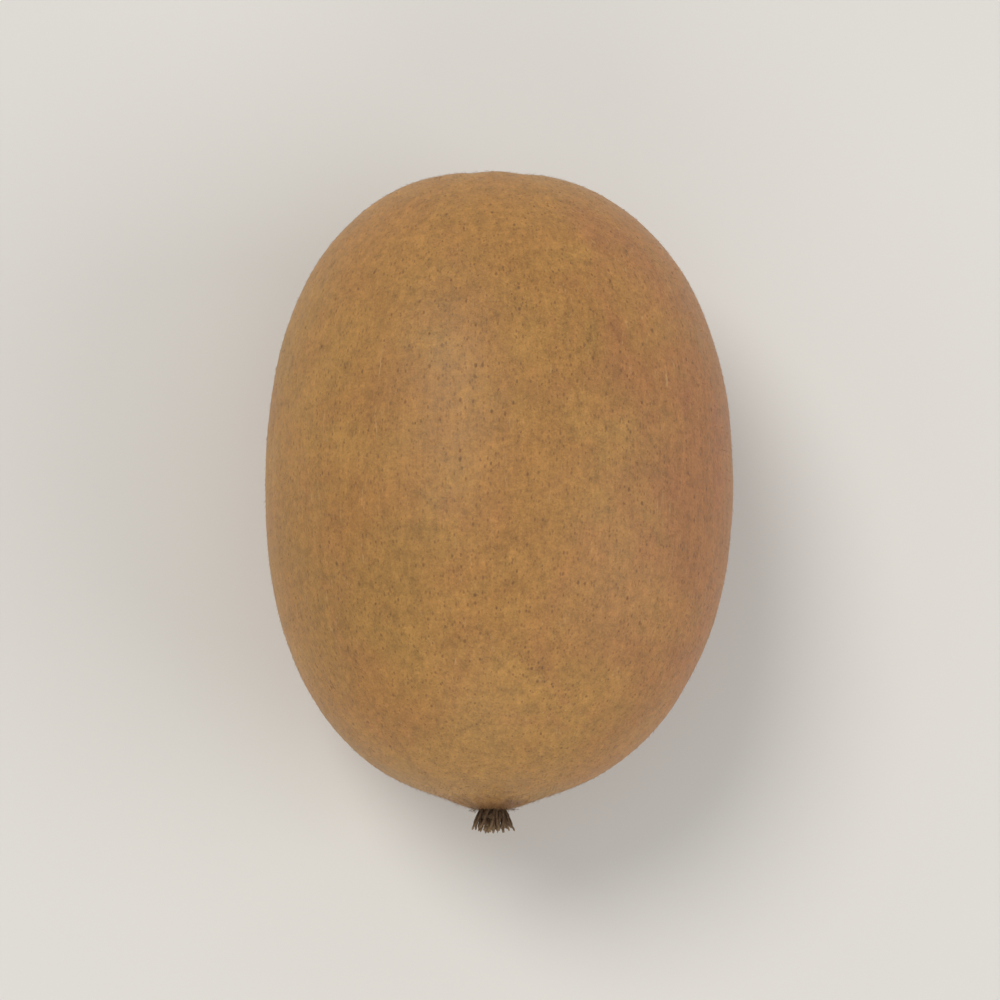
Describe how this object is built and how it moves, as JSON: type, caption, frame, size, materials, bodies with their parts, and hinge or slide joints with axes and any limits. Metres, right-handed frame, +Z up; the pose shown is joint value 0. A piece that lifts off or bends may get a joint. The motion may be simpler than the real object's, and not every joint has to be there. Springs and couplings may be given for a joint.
{
  "type": "golden kiwi fruit",
  "caption": "Whole golden kiwi fruit lying on its side: a blunt bronze barrel with a puckered stem pit, dried sepals and a tuft of dried styles on a low beak.",
  "frame": {"origin": "on the resting surface, under the middle of the object's bounding box", "axes": "+Y along the fruit towards its stem end, +Z up from the flat spot it rests on"},
  "size_m": [0.0564, 0.08, 0.0518],
  "materials": {
    "skin": "matte golden-bronze skin with a very fine down, red-brown in places, with small darker specks",
    "dried_sepals": "dry, woody, matte grey-brown",
    "dried_styles": "dry, brittle, matte dark brown"
  },
  "bodies": {
    "root": {"fruit": "skin", "calyx": "dried_sepals", "styles": "dried_styles"}
  },
  "joints": []
}
